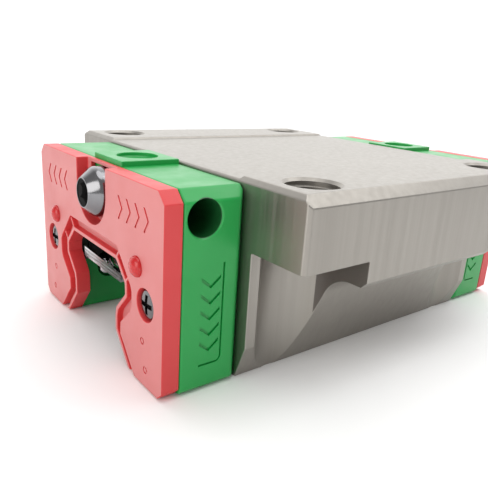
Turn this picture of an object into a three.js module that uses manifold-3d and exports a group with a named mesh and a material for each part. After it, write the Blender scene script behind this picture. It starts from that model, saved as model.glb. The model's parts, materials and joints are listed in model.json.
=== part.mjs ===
// Flanged linear guide carriage, size 25: a steel block that runs on a profiled rail on four
// recirculating rows of balls, with a moulded end cap, a wiping seal and a grease plug at each end.
// Millimetres, +X along the travel, +Y across, +Z up, origin at the centre of the underside.
import * as THREE from 'three';
import { mergeVertices } from 'three/addons/utils/BufferGeometryUtils.js';
import Module from 'manifold-3d';

const wasm = await Module();
wasm.setup();

// ---- driving dimensions -------------------------------------------------------------------

const FIT_GAP = 0.1; // air between two faces that meet

const BLOCK_HALF_LENGTH = 29;
const FLANGE_HALF_WIDTH = 35;
const BLOCK_TOP = 30.5;
const TOP_RECESS_DEPTH = 0.4;
const TOP_RECESS_HALF_WIDTH = 20.6;
const FLANGE_CHAMFER = 1.5;
const FLANGE_UNDERSIDE = 16.05; // between the bolt seats
const SEAT_UNDERSIDE = 20.3; // flange face that a bolt head bears on
const SEAT_WALL_Y = 24.6;
const SEAT_RADIUS = 6.1; // each bolt seat is round about its hole and open to the outer faces
const BODY_FOOT_HALF_WIDTH = 22.5;
const BODY_SIDE_SLOPE = 0.382; // sideways growth of the body per millimetre of height
const BODY_FILLET_RADIUS = 5;
const FLANGE_EDGE_BEVEL = 1;

const BOLT_X = 22.5;
const BOLT_Y = 28.5;
const BOLT_HOLE_RADIUS = 3.4; // core of an M8 thread
const BOLT_COUNTERSINK_RADIUS = 4.25;
const BOLT_COUNTERSINK_DEPTH = 0.85;

const CHANNEL_CEILING = 18.3;
const CEILING_HALF_WIDTH = 9.6;
const LAND_Y = 12.75; // channel wall between the two raceways
const LAND_BOTTOM = 11.2;
const LAND_TOP = 14.4;
const LEG_FACE_Y = 9.4;
const LEG_FACE_BOTTOM = 4.6;
const LEG_FACE_TOP = 7.3;
const BOTTOM_RECESS_HEIGHT = 0.8;
const BOTTOM_RECESS_OUTER_Y = 16.1;
const BOTTOM_RECESS_INNER_Y = 12.9;

const BALL_RADIUS = 2.381;
const BALL_PITCH = 4.8;
const BALLS_PER_ROW = 12;
const BALLS_PER_TURN = 3;
const TURN_BALL_STEP = THREE.MathUtils.degToRad(62.2);
const LINK_RADIUS = 0.5; // thin neck that keeps a row of balls in one solid
const RACEWAY_RADIUS = 2.5;
const RETURN_BORE_RADIUS = 2.65;
const TURN_TUBE_RADIUS = 2.62;
const TURN_CENTRE_X = 29.3;
const LOAD_Y = 10.8;
const RETURN_Y = 18.4;
const CIRCUITS = {
  upper: { loadZ: 16.0, returnZ: 21.2 },
  lower: { loadZ: 9.6, returnZ: 4.4 },
};

const CAP_FRONT = 39;
const CAP_TOP = 29.6;
const CAP_BOTTOM = 0.2;
const CAP_HALF_WIDTH = 23;
const CAP_CORNER = 1.6;
const CAP_FOOT_CORNER = 0.6;
const CAP_CHANNEL_HALF_WIDTH = 12.2;
const CAP_CHANNEL_CEILING = 18;
const BOSS_HALF_WIDTH = 5.1;
const BOSS_TOP = 30.4;
const BOSS_DIMPLE_RADIUS = 3.3;
const BOSS_DIMPLE_X = 33.9;
const SIDE_PORT_RADIUS = 2.65;
const SIDE_PORT_X = 35.7;
const SIDE_PORT_Z = 25.7;
const SIDE_PORT_FLOOR_Y = 8;

const SEAL_BACK = 39.1;
const SEAL_FRONT = 41.9;
const SEAL_BAND_X = 40.7; // floor of the stepped band round the rail opening
const SEAL_LIP_X = 41.6;
const BUMP_RADIUS = 1.55;
const BUMP_CROWN_RADIUS = 0.8;
const BUMP_Y = 15.7;
const BUMP_Z = 17.8;
const BUMP_SHOULDER = 42.4;
const BUMP_FRONT = 42.9;

const SCREW_Y = 18.1;
const SCREW_Z = 12.9;
const SCREW_SHANK_RADIUS = 1.3;
const SCREW_HEAD_RADIUS = 2.2;
const SCREW_HEAD_FRONT = 41.7;
const SCREW_HEAD_CHAMFER = 0.4;
const SCREW_HEAD_BACK = 40.2;
const SCREW_DRIVE = { depth: 0.7, halfLength: 1.25, halfWidth: 0.3 };
const SCREW_TIP_X = 21.5;
const SCREW_HOLE_SPARE = 1.5; // drilled depth past the screw's tip
const SCREW_RECESS_RADIUS = 2.45;
const SCREW_RECESS_FLOOR = 40.1;
const SCREW_CLEARANCE_RADIUS = 1.5;

const PLUG_Z = 25;
const PLUG_RADIUS = 3.95;
const PLUG_RIM_RADIUS = 2.45;
const PLUG_FRONT = 43.2;
const PLUG_SHOULDER_X = 41.3;
const PLUG_SHANK_RADIUS = 2.9;
const PLUG_TIP_X = 33;
const PLUG_SOCKET_RADIUS = 2.25; // across the corners of the hexagon
const PLUG_SOCKET_FLOOR = 41;
const PLUG_HOLE_RADIUS = 3.2;
const PLUG_HOLE_FLOOR = 32.5;
const NOTCH_HALF_WIDTH = 5.5;
const NOTCH_CENTRE_Z = 25.4;
const NOTCH_FLOOR_X = 39.9;
const PLUG_WINDOW_RADIUS = 4.4; // opening that the plug passes through behind the notch
const PLUG_WINDOW_TOP = 29;

const GUIDE_INNER_Y = 12.6;
const GUIDE_OUTER_Y = 15.9;
const GUIDE_CLEARANCE = 0.3;
const GUIDE_BACK = 29.2;
const GUIDE_FRONT = 37.4;
const GUIDE_FOOT = { x: 31.2, z: 4.2, backZ: 3.6 };
const GUIDE_NOSE = { bottom: 10.4, top: 19.6 };
const GUIDE_BACK_TOP = 21.4;
const STRIP_SLOT = { clearance: 0.25, front: 32, back: 28 }; // where a side retainer's end rests

const WIPING_EDGE_Y = 12; // inner edge of the strip seal under each leg
const RETAINER_THICKNESS = 0.5;
const TOP_RETAINER = { halfLength: 36, halfWidth: 8.4, bottom: 17.2 };
const SIDE_RETAINER = { halfLength: 31.5, y: 12.05, bottom: 11.85, top: 13.75 };
const LOWER_RETAINER = { y: 8.6, width: 1.8, middleZ: 6.1, straightEnd: 33, tabEnd: 38.6, tabY: 11.4, tabZ: 11.5 };

const STEEL = { color: 0xaca79f, roughness: 0.45, metalness: 0.9 };
const BRIGHT_STEEL = { color: 0xd0d2d4, roughness: 0.2, metalness: 1 };
const SPRING_STEEL = { color: 0xbfc3c6, roughness: 0.3, metalness: 1 };
const GREEN_PLASTIC = { color: 0x35a85c, roughness: 0.42, metalness: 0 };
const RED_PLASTIC = { color: 0xe07a76, roughness: 0.5, metalness: 0 };
const BLACK_PLASTIC = { color: 0x17191a, roughness: 0.5, metalness: 0 };
const BLACK_RUBBER = { color: 0x202224, roughness: 0.8, metalness: 0 };

// ---- solids -------------------------------------------------------------------------------

// Shares the vertices of a geometry, drops collapsed triangles and turns its faces outward.
function welded(geometry) {
  const bare = geometry.index ? geometry.toNonIndexed() : geometry.clone();
  bare.deleteAttribute('normal');
  bare.deleteAttribute('uv');
  const merged = mergeVertices(bare, 1e-4);
  const source = merged.index.array;
  const triangles = [];
  for (let i = 0; i < source.length; i += 3) {
    const [a, b, c] = source.slice(i, i + 3);
    if (a !== b && b !== c && c !== a) triangles.push(a, b, c);
  }
  if (signedVolume(merged, triangles) < 0) triangles.reverse();
  merged.setIndex(triangles);
  return merged;
}

function signedVolume(geometry, triangles) {
  const position = geometry.attributes.position;
  const [a, b, c] = [new THREE.Vector3(), new THREE.Vector3(), new THREE.Vector3()];
  let volume = 0;
  for (let i = 0; i < triangles.length; i += 3) {
    a.fromBufferAttribute(position, triangles[i]);
    b.fromBufferAttribute(position, triangles[i + 1]);
    c.fromBufferAttribute(position, triangles[i + 2]);
    volume += a.dot(b.cross(c)) / 6;
  }
  return volume;
}

function solid(geometry) {
  const closed = welded(geometry);
  const vertProperties = Float32Array.from(closed.attributes.position.array);
  const triVerts = Uint32Array.from(closed.index.array);
  return new wasm.Manifold(new wasm.Mesh({ numProp: 3, vertProperties, triVerts }));
}

function join(...geometries) {
  return geometries.map(solid).reduce((whole, next) => whole.add(next));
}

function cut(whole, ...geometries) {
  return geometries.map(solid).reduce((rest, tool) => rest.subtract(tool), whole);
}

function geometryOf(manifold) {
  const mesh = manifold.getMesh();
  const geometry = new THREE.BufferGeometry();
  geometry.setAttribute('position', new THREE.BufferAttribute(Float32Array.from(mesh.vertProperties), 3));
  geometry.setIndex(Array.from(mesh.triVerts));
  return geometry;
}

// ---- plain shapes -------------------------------------------------------------------------

const ACROSS = new THREE.Matrix4().makeBasis(
  new THREE.Vector3(0, 1, 0),
  new THREE.Vector3(0, 0, 1),
  new THREE.Vector3(1, 0, 0),
);
const SIDEWAYS = new THREE.Matrix4().makeBasis(
  new THREE.Vector3(1, 0, 0),
  new THREE.Vector3(0, 0, 1),
  new THREE.Vector3(0, -1, 0),
);

function shapeOf(outline) {
  return new THREE.Shape(outline.map(([u, v]) => new THREE.Vector2(u, v)));
}

// A (y, z) outline made solid from x0 to x1.
function alongX(outline, x0, x1) {
  const geometry = new THREE.ExtrudeGeometry(shapeOf(outline), { depth: x1 - x0, bevelEnabled: false });
  return geometry.applyMatrix4(ACROSS).translate(x0, 0, 0);
}

// An (x, z) outline made solid from y0 to y1.
function alongY(outline, y0, y1) {
  const geometry = new THREE.ExtrudeGeometry(shapeOf(outline), { depth: y1 - y0, bevelEnabled: false });
  return geometry.applyMatrix4(SIDEWAYS).translate(0, y1, 0);
}

// An (x, y) outline made solid from z0 to z1.
function alongZ(outline, z0, z1) {
  const geometry = new THREE.ExtrudeGeometry(shapeOf(outline), { depth: z1 - z0, bevelEnabled: false });
  return geometry.translate(0, 0, z0);
}

function box(x0, x1, y0, y1, z0, z1) {
  const geometry = new THREE.BoxGeometry(x1 - x0, y1 - y0, z1 - z0);
  return geometry.translate((x0 + x1) / 2, (y0 + y1) / 2, (z0 + z1) / 2);
}

function rodX(radius, x0, x1, y, z, sides = 12) {
  const geometry = new THREE.CylinderGeometry(radius, radius, x1 - x0, sides);
  return geometry.rotateZ(-Math.PI / 2).translate((x0 + x1) / 2, y, z);
}

function rodY(radius, y0, y1, x, z, sides = 16) {
  return new THREE.CylinderGeometry(radius, radius, y1 - y0, sides).translate(x, (y0 + y1) / 2, z);
}

function rodZ(lowRadius, highRadius, z0, z1, x, y, sides = 16) {
  const geometry = new THREE.CylinderGeometry(highRadius, lowRadius, z1 - z0, sides);
  return geometry.rotateX(Math.PI / 2).translate(x, y, (z0 + z1) / 2);
}

// Turned about the X axis: the profile lists (x, radius).
function turnedX(profile, sides) {
  const points = profile.map(([x, radius]) => new THREE.Vector2(radius, x));
  return new THREE.LatheGeometry(points, sides).rotateZ(-Math.PI / 2);
}

function bothHalves(half) {
  const other = half.filter(([y]) => y > 0).reverse();
  return [...half, ...other.map(([y, z]) => [-y, z])];
}

function arc(y, z, radius, startDegrees, endDegrees, steps) {
  return Array.from({ length: steps + 1 }, (_, i) => {
    const angle = THREE.MathUtils.degToRad(startDegrees + ((endDegrees - startDegrees) * i) / steps);
    return [y + radius * Math.cos(angle), z + radius * Math.sin(angle)];
  });
}

function mirroredY(geometry) {
  return welded(geometry.clone().scale(1, -1, 1));
}

// ---- ball circuits ------------------------------------------------------------------------

// Frame of one turn: the arc lies in the plane of X and `across`, and turns about `axis`.
function turnFrame(level, side) {
  const { loadZ, returnZ } = CIRCUITS[level];
  const rise = returnZ - loadZ;
  const reach = (RETURN_Y - LOAD_Y) * side;
  const span = Math.hypot(reach, rise);
  const across = new THREE.Vector3(0, reach / span, rise / span);
  const axis = new THREE.Vector3(1, 0, 0).cross(across);
  const centre = new THREE.Vector3(0, (side * (LOAD_Y + RETURN_Y)) / 2, (loadZ + returnZ) / 2);
  return { across, axis, centre, radius: span / 2 };
}

function turnTube(level, side, end) {
  const { across, axis, centre, radius } = turnFrame(level, side);
  const basis = new THREE.Matrix4().makeBasis(new THREE.Vector3(1, 0, 0), across, axis);
  const tube = new THREE.TorusGeometry(radius, TURN_TUBE_RADIUS, 10, 20).applyMatrix4(basis);
  return tube.translate(end * TURN_CENTRE_X, centre.y, centre.z);
}

function ballRow() {
  const profile = [];
  const first = (-(BALLS_PER_ROW - 1) / 2) * BALL_PITCH;
  const neckAngle = Math.asin(LINK_RADIUS / BALL_RADIUS);
  const steps = 3;
  for (let ball = 0; ball < BALLS_PER_ROW; ball += 1) {
    const x = first + ball * BALL_PITCH;
    for (let i = 0; i <= steps; i += 1) {
      const angle = Math.PI - neckAngle - ((Math.PI - 2 * neckAngle) * i) / steps;
      profile.push([x + BALL_RADIUS * Math.cos(angle), BALL_RADIUS * Math.sin(angle)]);
    }
  }
  const reach = -first + BALL_RADIUS;
  return turnedX([[-reach, 0], ...profile, [reach, 0]], 6);
}

function ballTurn(level, side, end) {
  const { across, centre, radius } = turnFrame(level, side);
  const origin = new THREE.Vector3(end * TURN_CENTRE_X, centre.y, centre.z);
  const outward = new THREE.Vector3(end, 0, 0);
  const centres = Array.from({ length: BALLS_PER_TURN }, (_, i) => {
    const angle = Math.PI / 2 + (i - (BALLS_PER_TURN - 1) / 2) * TURN_BALL_STEP;
    const place = origin.clone().addScaledVector(across, -radius * Math.cos(angle));
    return place.addScaledVector(outward, radius * Math.sin(angle));
  });
  const balls = centres.map(({ x, y, z }) => new THREE.SphereGeometry(BALL_RADIUS, 6, 4).translate(x, y, z));
  const links = centres.slice(1).map((next, i) => rodBetween(centres[i], next, LINK_RADIUS, 4));
  return geometryOf(join(...balls, ...links));
}

function rodBetween(from, to, radius, sides) {
  const along = to.clone().sub(from);
  const middle = from.clone().add(to).multiplyScalar(0.5);
  const turn = new THREE.Quaternion().setFromUnitVectors(new THREE.Vector3(0, 1, 0), along.clone().normalize());
  const rod = new THREE.CylinderGeometry(radius, radius, along.length(), sides).applyQuaternion(turn);
  return rod.translate(middle.x, middle.y, middle.z);
}

// ---- block --------------------------------------------------------------------------------

function blockOutline() {
  const sideAngle = THREE.MathUtils.radToDeg(Math.atan(BODY_SIDE_SLOPE));
  const filletZ = FLANGE_UNDERSIDE - BODY_FILLET_RADIUS;
  const sideReach = BODY_FILLET_RADIUS / Math.cos(THREE.MathUtils.degToRad(sideAngle));
  const filletY = BODY_FOOT_HALF_WIDTH + BODY_SIDE_SLOPE * filletZ + sideReach;
  return bothHalves([
    [0, BLOCK_TOP - TOP_RECESS_DEPTH],
    [TOP_RECESS_HALF_WIDTH, BLOCK_TOP - TOP_RECESS_DEPTH],
    [TOP_RECESS_HALF_WIDTH, BLOCK_TOP],
    [FLANGE_HALF_WIDTH - FLANGE_CHAMFER, BLOCK_TOP],
    [FLANGE_HALF_WIDTH, BLOCK_TOP - FLANGE_CHAMFER],
    [FLANGE_HALF_WIDTH, FLANGE_UNDERSIDE + FLANGE_EDGE_BEVEL],
    [FLANGE_HALF_WIDTH - FLANGE_EDGE_BEVEL, FLANGE_UNDERSIDE],
    ...arc(filletY, filletZ, BODY_FILLET_RADIUS, 90, 180 - sideAngle, 6),
    [BODY_FOOT_HALF_WIDTH, 0],
    [BOTTOM_RECESS_OUTER_Y, 0],
    [BOTTOM_RECESS_OUTER_Y, BOTTOM_RECESS_HEIGHT],
    [BOTTOM_RECESS_INNER_Y, BOTTOM_RECESS_HEIGHT],
    [LEG_FACE_Y, LEG_FACE_BOTTOM],
    [LEG_FACE_Y, LEG_FACE_TOP],
    ...arc(LOAD_Y, CIRCUITS.lower.loadZ, RACEWAY_RADIUS, -120, 30, 10),
    [LAND_Y, LAND_BOTTOM],
    [LAND_Y, LAND_TOP],
    ...arc(LOAD_Y, CIRCUITS.upper.loadZ, RACEWAY_RADIUS, -30, 113, 10),
    [CEILING_HALF_WIDTH, CHANNEL_CEILING],
    [0, CHANNEL_CEILING],
  ]);
}

// Plan of the seat in the corner at +X +Y, open to the two outer faces.
function seatOutline(past) {
  const wallAngle = THREE.MathUtils.radToDeg(Math.asin((SEAT_WALL_Y - BOLT_Y) / SEAT_RADIUS));
  const [endX, endY] = [BLOCK_HALF_LENGTH + past, FLANGE_HALF_WIDTH + past];
  return [
    [endX, SEAT_WALL_Y],
    ...arc(BOLT_X, BOLT_Y, SEAT_RADIUS, wallAngle, -180, 10),
    [BOLT_X - SEAT_RADIUS, endY],
    [endX, endY],
  ];
}

function block() {
  const past = 1;
  let body = solid(alongX(blockOutline(), -BLOCK_HALF_LENGTH, BLOCK_HALF_LENGTH));
  for (const end of [-1, 1]) {
    for (const side of [-1, 1]) {
      const seat = seatOutline(past).map(([x, y]) => [end * x, side * y]);
      const [boltX, boltY] = [end * BOLT_X, side * BOLT_Y];
      const screwEdges = [end * (SCREW_TIP_X - SCREW_HOLE_SPARE), end * (BLOCK_HALF_LENGTH + past)];
      body = cut(
        body,
        alongZ(seat, -past, SEAT_UNDERSIDE),
        rodZ(BOLT_HOLE_RADIUS, BOLT_HOLE_RADIUS, SEAT_UNDERSIDE - past, BLOCK_TOP + past, boltX, boltY),
        rodZ(BOLT_HOLE_RADIUS, BOLT_COUNTERSINK_RADIUS, BLOCK_TOP - BOLT_COUNTERSINK_DEPTH, BLOCK_TOP, boltX, boltY),
        rodX(SCREW_CLEARANCE_RADIUS, Math.min(...screwEdges), Math.max(...screwEdges), side * SCREW_Y, SCREW_Z, 12),
      );
    }
  }
  for (const side of [-1, 1]) {
    for (const { returnZ } of Object.values(CIRCUITS)) {
      const reach = BLOCK_HALF_LENGTH + past;
      body = cut(body, rodX(RETURN_BORE_RADIUS, -reach, reach, side * RETURN_Y, returnZ));
    }
  }
  return geometryOf(body);
}

// ---- end pieces, drawn for the front end at -X --------------------------------------------

function endOutline(channel) {
  return [
    [CAP_HALF_WIDTH - CAP_CORNER, CAP_TOP],
    [CAP_HALF_WIDTH, CAP_TOP - CAP_CORNER],
    [CAP_HALF_WIDTH, CAP_BOTTOM + CAP_FOOT_CORNER],
    [CAP_HALF_WIDTH - CAP_FOOT_CORNER, CAP_BOTTOM],
    ...channel,
  ];
}

// Side view of a return guide: its lower edge slants back towards the block.
function guideOutline(grow) {
  return [
    [-GUIDE_BACK + grow, GUIDE_FOOT.backZ - grow],
    [-GUIDE_FOOT.x, GUIDE_FOOT.z - grow],
    [-GUIDE_FRONT - grow, GUIDE_NOSE.bottom - grow],
    [-GUIDE_FRONT - grow, GUIDE_NOSE.top + grow],
    [-GUIDE_BACK + grow, GUIDE_BACK_TOP + grow],
  ];
}

function stripSlot(x0, x1, y0, y1) {
  const { clearance } = STRIP_SLOT;
  return box(x0, x1, y0, y1, SIDE_RETAINER.bottom - clearance, SIDE_RETAINER.top + clearance);
}

function endCap() {
  const channel = [
    [CAP_CHANNEL_HALF_WIDTH, CAP_BOTTOM],
    [CAP_CHANNEL_HALF_WIDTH, CAP_CHANNEL_CEILING],
    [0, CAP_CHANNEL_CEILING],
  ];
  const boss = [
    [0, BOSS_TOP],
    [BOSS_HALF_WIDTH, BOSS_TOP],
    [BOSS_HALF_WIDTH, CAP_TOP],
  ];
  const outline = bothHalves([...boss, ...endOutline(channel)]);
  const back = -BLOCK_HALF_LENGTH - FIT_GAP;
  const past = 1;
  let cap = solid(alongX(outline, -CAP_FRONT, back));
  cap = cut(
    cap,
    rodZ(BOSS_DIMPLE_RADIUS, BOSS_DIMPLE_RADIUS, CAP_TOP, BOSS_TOP + past, -BOSS_DIMPLE_X, 0),
    rodX(PLUG_HOLE_RADIUS, -CAP_FRONT - past, -PLUG_HOLE_FLOOR, 0, PLUG_Z),
  );
  for (const side of [-1, 1]) {
    const portEdges = [side * SIDE_PORT_FLOOR_Y, side * (CAP_HALF_WIDTH + past)];
    const pocketEdges = [side * (CAP_CHANNEL_HALF_WIDTH - past), side * (GUIDE_OUTER_Y + GUIDE_CLEARANCE)];
    const slotEdges = [side * (CAP_CHANNEL_HALF_WIDTH - past), side * LAND_Y];
    cap = cut(
      cap,
      alongY(guideOutline(GUIDE_CLEARANCE), Math.min(...pocketEdges), Math.max(...pocketEdges)),
      turnTube('upper', side, -1),
      turnTube('lower', side, -1),
      rodX(SCREW_CLEARANCE_RADIUS, -CAP_FRONT - past, back + past, side * SCREW_Y, SCREW_Z, 12),
      rodY(SIDE_PORT_RADIUS, Math.min(...portEdges), Math.max(...portEdges), -SIDE_PORT_X, SIDE_PORT_Z),
      stripSlot(-STRIP_SLOT.front, back + past, Math.min(...slotEdges), Math.max(...slotEdges)),
    );
  }
  return geometryOf(cap);
}

function returnGuide() {
  const blank = solid(alongY(guideOutline(0), GUIDE_INNER_Y, GUIDE_OUTER_Y));
  const slot = stripSlot(-STRIP_SLOT.front, -STRIP_SLOT.back, GUIDE_INNER_Y - 1, LAND_Y);
  return geometryOf(cut(blank, turnTube('upper', 1, -1), turnTube('lower', 1, -1), slot));
}

const SEAL_OPENING = [
  [14.8, CAP_BOTTOM],
  [12.9, 2.3],
  [11.6, 3.8],
  [10.2, 5.2],
  [10.3, 7.2],
  [13.6, 10.3],
  [14, 11.2],
  [14, 13.5],
  [13.6, 14.3],
  [9.2, 19],
  [0, 19],
];
const SEAL_LIP_OUTER = [
  [13, CAP_BOTTOM],
  [10.5, 3.1],
  [8.6, 5.2],
  [8.6, 7.4],
  [8.9, 8.5],
  [12, 11.7],
  [11.9, 14],
  [8.7, 17.2],
  [0, 17.2],
];
const SEAL_LIP_INNER = [
  [12.2, CAP_BOTTOM],
  [9.9, 2.7],
  [7.9, 5],
  [7.9, 7.5],
  [8.2, 8.8],
  [11.3, 12],
  [11.2, 13.7],
  [8.4, 16.5],
  [0, 16.5],
];

function bump(y) {
  const dome = [
    [-BUMP_FRONT, 0],
    [-BUMP_FRONT, BUMP_CROWN_RADIUS],
    [-BUMP_SHOULDER, BUMP_RADIUS],
    [-SEAL_FRONT + FIT_GAP, BUMP_RADIUS],
    [-SEAL_FRONT + FIT_GAP, 0],
  ];
  return turnedX(dome, 12).translate(0, y, BUMP_Z);
}

function endSeal() {
  const overlap = 0.1;
  const past = 1;
  const front = bothHalves([[0, CAP_TOP], ...endOutline(SEAL_OPENING)]);
  const back = bothHalves([[0, CAP_TOP], ...endOutline(SEAL_LIP_INNER)]);
  const lip = bothHalves([...SEAL_LIP_OUTER].reverse().concat(SEAL_LIP_INNER));
  let seal = join(
    alongX(front, -SEAL_FRONT, -SEAL_BAND_X + overlap),
    alongX(back, -SEAL_BAND_X, -SEAL_BACK),
    alongX(lip, -SEAL_LIP_X, -SEAL_BAND_X + overlap),
    bump(BUMP_Y),
    bump(-BUMP_Y),
  );
  seal = cut(
    seal,
    box(-SEAL_FRONT - past, -NOTCH_FLOOR_X, -NOTCH_HALF_WIDTH, NOTCH_HALF_WIDTH, NOTCH_CENTRE_Z, CAP_TOP + past),
    rodX(NOTCH_HALF_WIDTH, -SEAL_FRONT - past, -NOTCH_FLOOR_X, 0, NOTCH_CENTRE_Z, 24),
    box(-SEAL_FRONT - past, -SEAL_BACK + past, -PLUG_WINDOW_RADIUS, PLUG_WINDOW_RADIUS, PLUG_Z, PLUG_WINDOW_TOP),
    rodX(PLUG_WINDOW_RADIUS, -SEAL_FRONT - past, -SEAL_BACK + past, 0, PLUG_Z, 24),
  );
  for (const side of [-1, 1]) {
    seal = cut(
      seal,
      rodX(SCREW_RECESS_RADIUS, -SEAL_FRONT - past, -SCREW_RECESS_FLOOR, side * SCREW_Y, SCREW_Z, 16),
      rodX(SCREW_CLEARANCE_RADIUS, -SEAL_FRONT - past, -SEAL_BACK + past, side * SCREW_Y, SCREW_Z, 12),
    );
  }
  return geometryOf(seal);
}

function greasePlug() {
  const body = turnedX(
    [
      [-PLUG_FRONT, 0],
      [-PLUG_FRONT, PLUG_RIM_RADIUS],
      [-PLUG_SHOULDER_X, PLUG_RADIUS],
      [-CAP_FRONT - FIT_GAP, PLUG_RADIUS],
      [-CAP_FRONT - FIT_GAP, PLUG_SHANK_RADIUS],
      [-PLUG_TIP_X, PLUG_SHANK_RADIUS],
      [-PLUG_TIP_X, 0],
    ],
    24,
  );
  const socket = rodX(PLUG_SOCKET_RADIUS, -PLUG_FRONT - 1, -PLUG_SOCKET_FLOOR, 0, 0, 6);
  return geometryOf(cut(solid(body), socket)).translate(0, 0, PLUG_Z);
}

function sealScrew() {
  const body = turnedX(
    [
      [-SCREW_HEAD_FRONT, 0],
      [-SCREW_HEAD_FRONT, SCREW_HEAD_RADIUS - SCREW_HEAD_CHAMFER],
      [-SCREW_HEAD_FRONT + SCREW_HEAD_CHAMFER, SCREW_HEAD_RADIUS],
      [-SCREW_HEAD_BACK, SCREW_HEAD_RADIUS],
      [-SCREW_HEAD_BACK, SCREW_SHANK_RADIUS],
      [-SCREW_TIP_X, SCREW_SHANK_RADIUS],
      [-SCREW_TIP_X, 0],
    ],
    16,
  );
  const { depth, halfLength, halfWidth } = SCREW_DRIVE;
  const [x0, x1] = [-SCREW_HEAD_FRONT - 1, -SCREW_HEAD_FRONT + depth];
  return geometryOf(
    cut(
      solid(body),
      box(x0, x1, -halfLength, halfLength, -halfWidth, halfWidth),
      box(x0, x1, -halfWidth, halfWidth, -halfLength, halfLength),
    ),
  );
}

// ---- retainers and bottom seals -----------------------------------------------------------

function topRetainer() {
  const { halfLength, halfWidth, bottom } = TOP_RETAINER;
  return box(-halfLength, halfLength, -halfWidth, halfWidth, bottom, bottom + RETAINER_THICKNESS);
}

function sideRetainer() {
  const { halfLength, y, bottom, top } = SIDE_RETAINER;
  return box(-halfLength, halfLength, y, y + RETAINER_THICKNESS, bottom, top);
}

// A straight strip under the lower balls whose two ends bend up and outward inside the end caps.
function lowerRetainer() {
  const { y, width, middleZ, straightEnd, tabEnd, tabY, tabZ } = LOWER_RETAINER;
  const stations = [
    [-tabEnd, tabY, tabZ],
    [-straightEnd, y, middleZ],
    [straightEnd, y, middleZ],
    [tabEnd, tabY, tabZ],
  ];
  const lastStation = stations.length - 1;
  const strip = new THREE.BoxGeometry(lastStation, RETAINER_THICKNESS, width, lastStation, 1, 1);
  const position = strip.attributes.position;
  for (let i = 0; i < position.count; i += 1) {
    const [x, stationY, stationZ] = stations[Math.round(position.getX(i) + lastStation / 2)];
    const depth = position.getY(i) + RETAINER_THICKNESS / 2;
    position.setXYZ(i, x, stationY + depth, stationZ + position.getZ(i));
  }
  return strip;
}

function bottomSeal() {
  const length = BLOCK_HALF_LENGTH - FIT_GAP;
  const outerEdge = BOTTOM_RECESS_OUTER_Y - FIT_GAP;
  const [low, high] = [FIT_GAP, BOTTOM_RECESS_HEIGHT - FIT_GAP];
  const outline = [
    [WIPING_EDGE_Y, low],
    [outerEdge, low],
    [outerEdge, high],
    [BOTTOM_RECESS_INNER_Y + FIT_GAP, high],
  ];
  return alongX(outline, -length, length);
}

// ---- assembly -----------------------------------------------------------------------------

const carriage = new THREE.Group();

function piece(parent, name, geometry, finish) {
  const mesh = new THREE.Mesh(welded(geometry), new THREE.MeshStandardMaterial(finish));
  mesh.name = name;
  parent.add(mesh);
  return mesh;
}

piece(carriage, 'block', block(), STEEL);
piece(carriage, 'top_retainer', topRetainer(), SPRING_STEEL);

const capGeometry = endCap();
const sealGeometry = endSeal();
const plugGeometry = greasePlug();
const screwGeometry = sealScrew();
const guideGeometry = returnGuide();
const mirroredGuideGeometry = mirroredY(guideGeometry);

for (const [endName, turn, sideNames] of [
  ['front', 0, { 1: 'left', '-1': 'right' }],
  ['rear', Math.PI, { 1: 'right', '-1': 'left' }],
]) {
  const end = new THREE.Group();
  end.rotation.z = turn;
  carriage.add(end);
  piece(end, `end_cap_${endName}`, capGeometry, GREEN_PLASTIC);
  piece(end, `end_seal_${endName}`, sealGeometry, RED_PLASTIC);
  piece(end, `grease_plug_${endName}`, plugGeometry, BRIGHT_STEEL);
  for (const side of [1, -1]) {
    const sideName = sideNames[side];
    const screw = piece(end, `seal_screw_${endName}_${sideName}`, screwGeometry, BRIGHT_STEEL);
    screw.position.set(0, side * SCREW_Y, SCREW_Z);
    const guide = side > 0 ? guideGeometry : mirroredGuideGeometry;
    piece(end, `return_guide_${endName}_${sideName}`, guide, BLACK_PLASTIC);
  }
}

const rowGeometry = ballRow();
for (const [sideName, side] of [['left', 1], ['right', -1]]) {
  const turned = (geometry) => (side > 0 ? geometry : mirroredY(geometry));
  piece(carriage, `side_retainer_${sideName}`, turned(sideRetainer()), SPRING_STEEL);
  piece(carriage, `lower_retainer_${sideName}`, turned(lowerRetainer()), SPRING_STEEL);
  piece(carriage, `bottom_seal_${sideName}`, turned(bottomSeal()), BLACK_RUBBER);
  for (const [level, { loadZ, returnZ }] of Object.entries(CIRCUITS)) {
    const loadRow = piece(carriage, `load_row_${level}_${sideName}`, rowGeometry, BRIGHT_STEEL);
    loadRow.position.set(0, side * LOAD_Y, loadZ);
    const returnRow = piece(carriage, `return_row_${level}_${sideName}`, rowGeometry, BRIGHT_STEEL);
    returnRow.position.set(0, side * RETURN_Y, returnZ);
    piece(carriage, `turn_front_${level}_${sideName}`, ballTurn(level, side, -1), BRIGHT_STEEL);
    piece(carriage, `turn_rear_${level}_${sideName}`, ballTurn(level, side, 1), BRIGHT_STEEL);
  }
}

export default carriage;
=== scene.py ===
"""Flanged linear guide carriage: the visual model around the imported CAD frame.

Pieces are drawn in millimetres in the CAD frame and turned into metres when they are finished.
+X runs along the travel, +Y across, +Z up. The front end faces -X.
"""

import json
import math

import bmesh
import bpy
from mathutils import Matrix, Vector


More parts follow.
